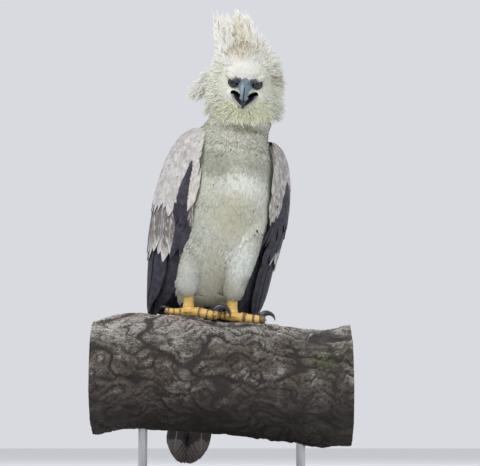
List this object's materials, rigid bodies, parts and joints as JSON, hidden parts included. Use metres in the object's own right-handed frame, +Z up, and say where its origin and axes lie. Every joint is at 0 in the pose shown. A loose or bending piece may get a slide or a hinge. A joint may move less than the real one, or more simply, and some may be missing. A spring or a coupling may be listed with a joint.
{
  "type": "harpy eagle",
  "caption": "Life-size museum model of a pale young harpy eagle with an erect crest, perched on a cut length of limb held over a flat base by short rods.",
  "frame": {"origin": "on the underside of the stand's base, below the middle of the limb", "axes": "+Z up from the base; the bird faces -Y and the limb runs along X, with the bird's left at +X"},
  "size_m": [0.62, 0.46, 1.2027],
  "materials": {
    "body_feathers": "soft white body feathers with dull grey-green and beige patches",
    "head_feathers": "downy off-white head feathers with cream tints",
    "wing_feathers": "pale grey coverts over slate-black flight feathers",
    "tail_feathers": "grey-brown tail feathers with dark bars",
    "bill": "blue-grey horn, dark at the ridge and hook",
    "eye": "dark wet eye",
    "foot_skin": "yellow-orange scaled skin",
    "claw": "black horn",
    "bark": "rough cracked grey-brown bark with moss, pale sawn ends",
    "rod_steel": "brushed steel",
    "base_wood": "black satin-stained wood"
  },
  "bodies": {
    "root": {"torso": "body_feathers", "neck": "body_feathers", "head": "head_feathers", "crest": "head_feathers", "bill_upper": "bill", "bill_lower": "bill", "eye_right": "eye", "eye_left": "eye", "wing_right": "wing_feathers", "wing_left": "wing_feathers", "leg_right": "body_feathers", "leg_left": "body_feathers", "foot_right": "foot_skin", "foot_left": "foot_skin", "claw_right_1": "claw", "claw_right_2": "claw", "claw_right_3": "claw", "claw_right_4": "claw", "claw_left_1": "claw", "claw_left_2": "claw", "claw_left_3": "claw", "claw_left_4": "claw", "tail": "tail_feathers", "perch_limb": "bark", "stand_rod_right": "rod_steel", "stand_rod_left": "rod_steel", "stand_base": "base_wood"}
  },
  "joints": []
}
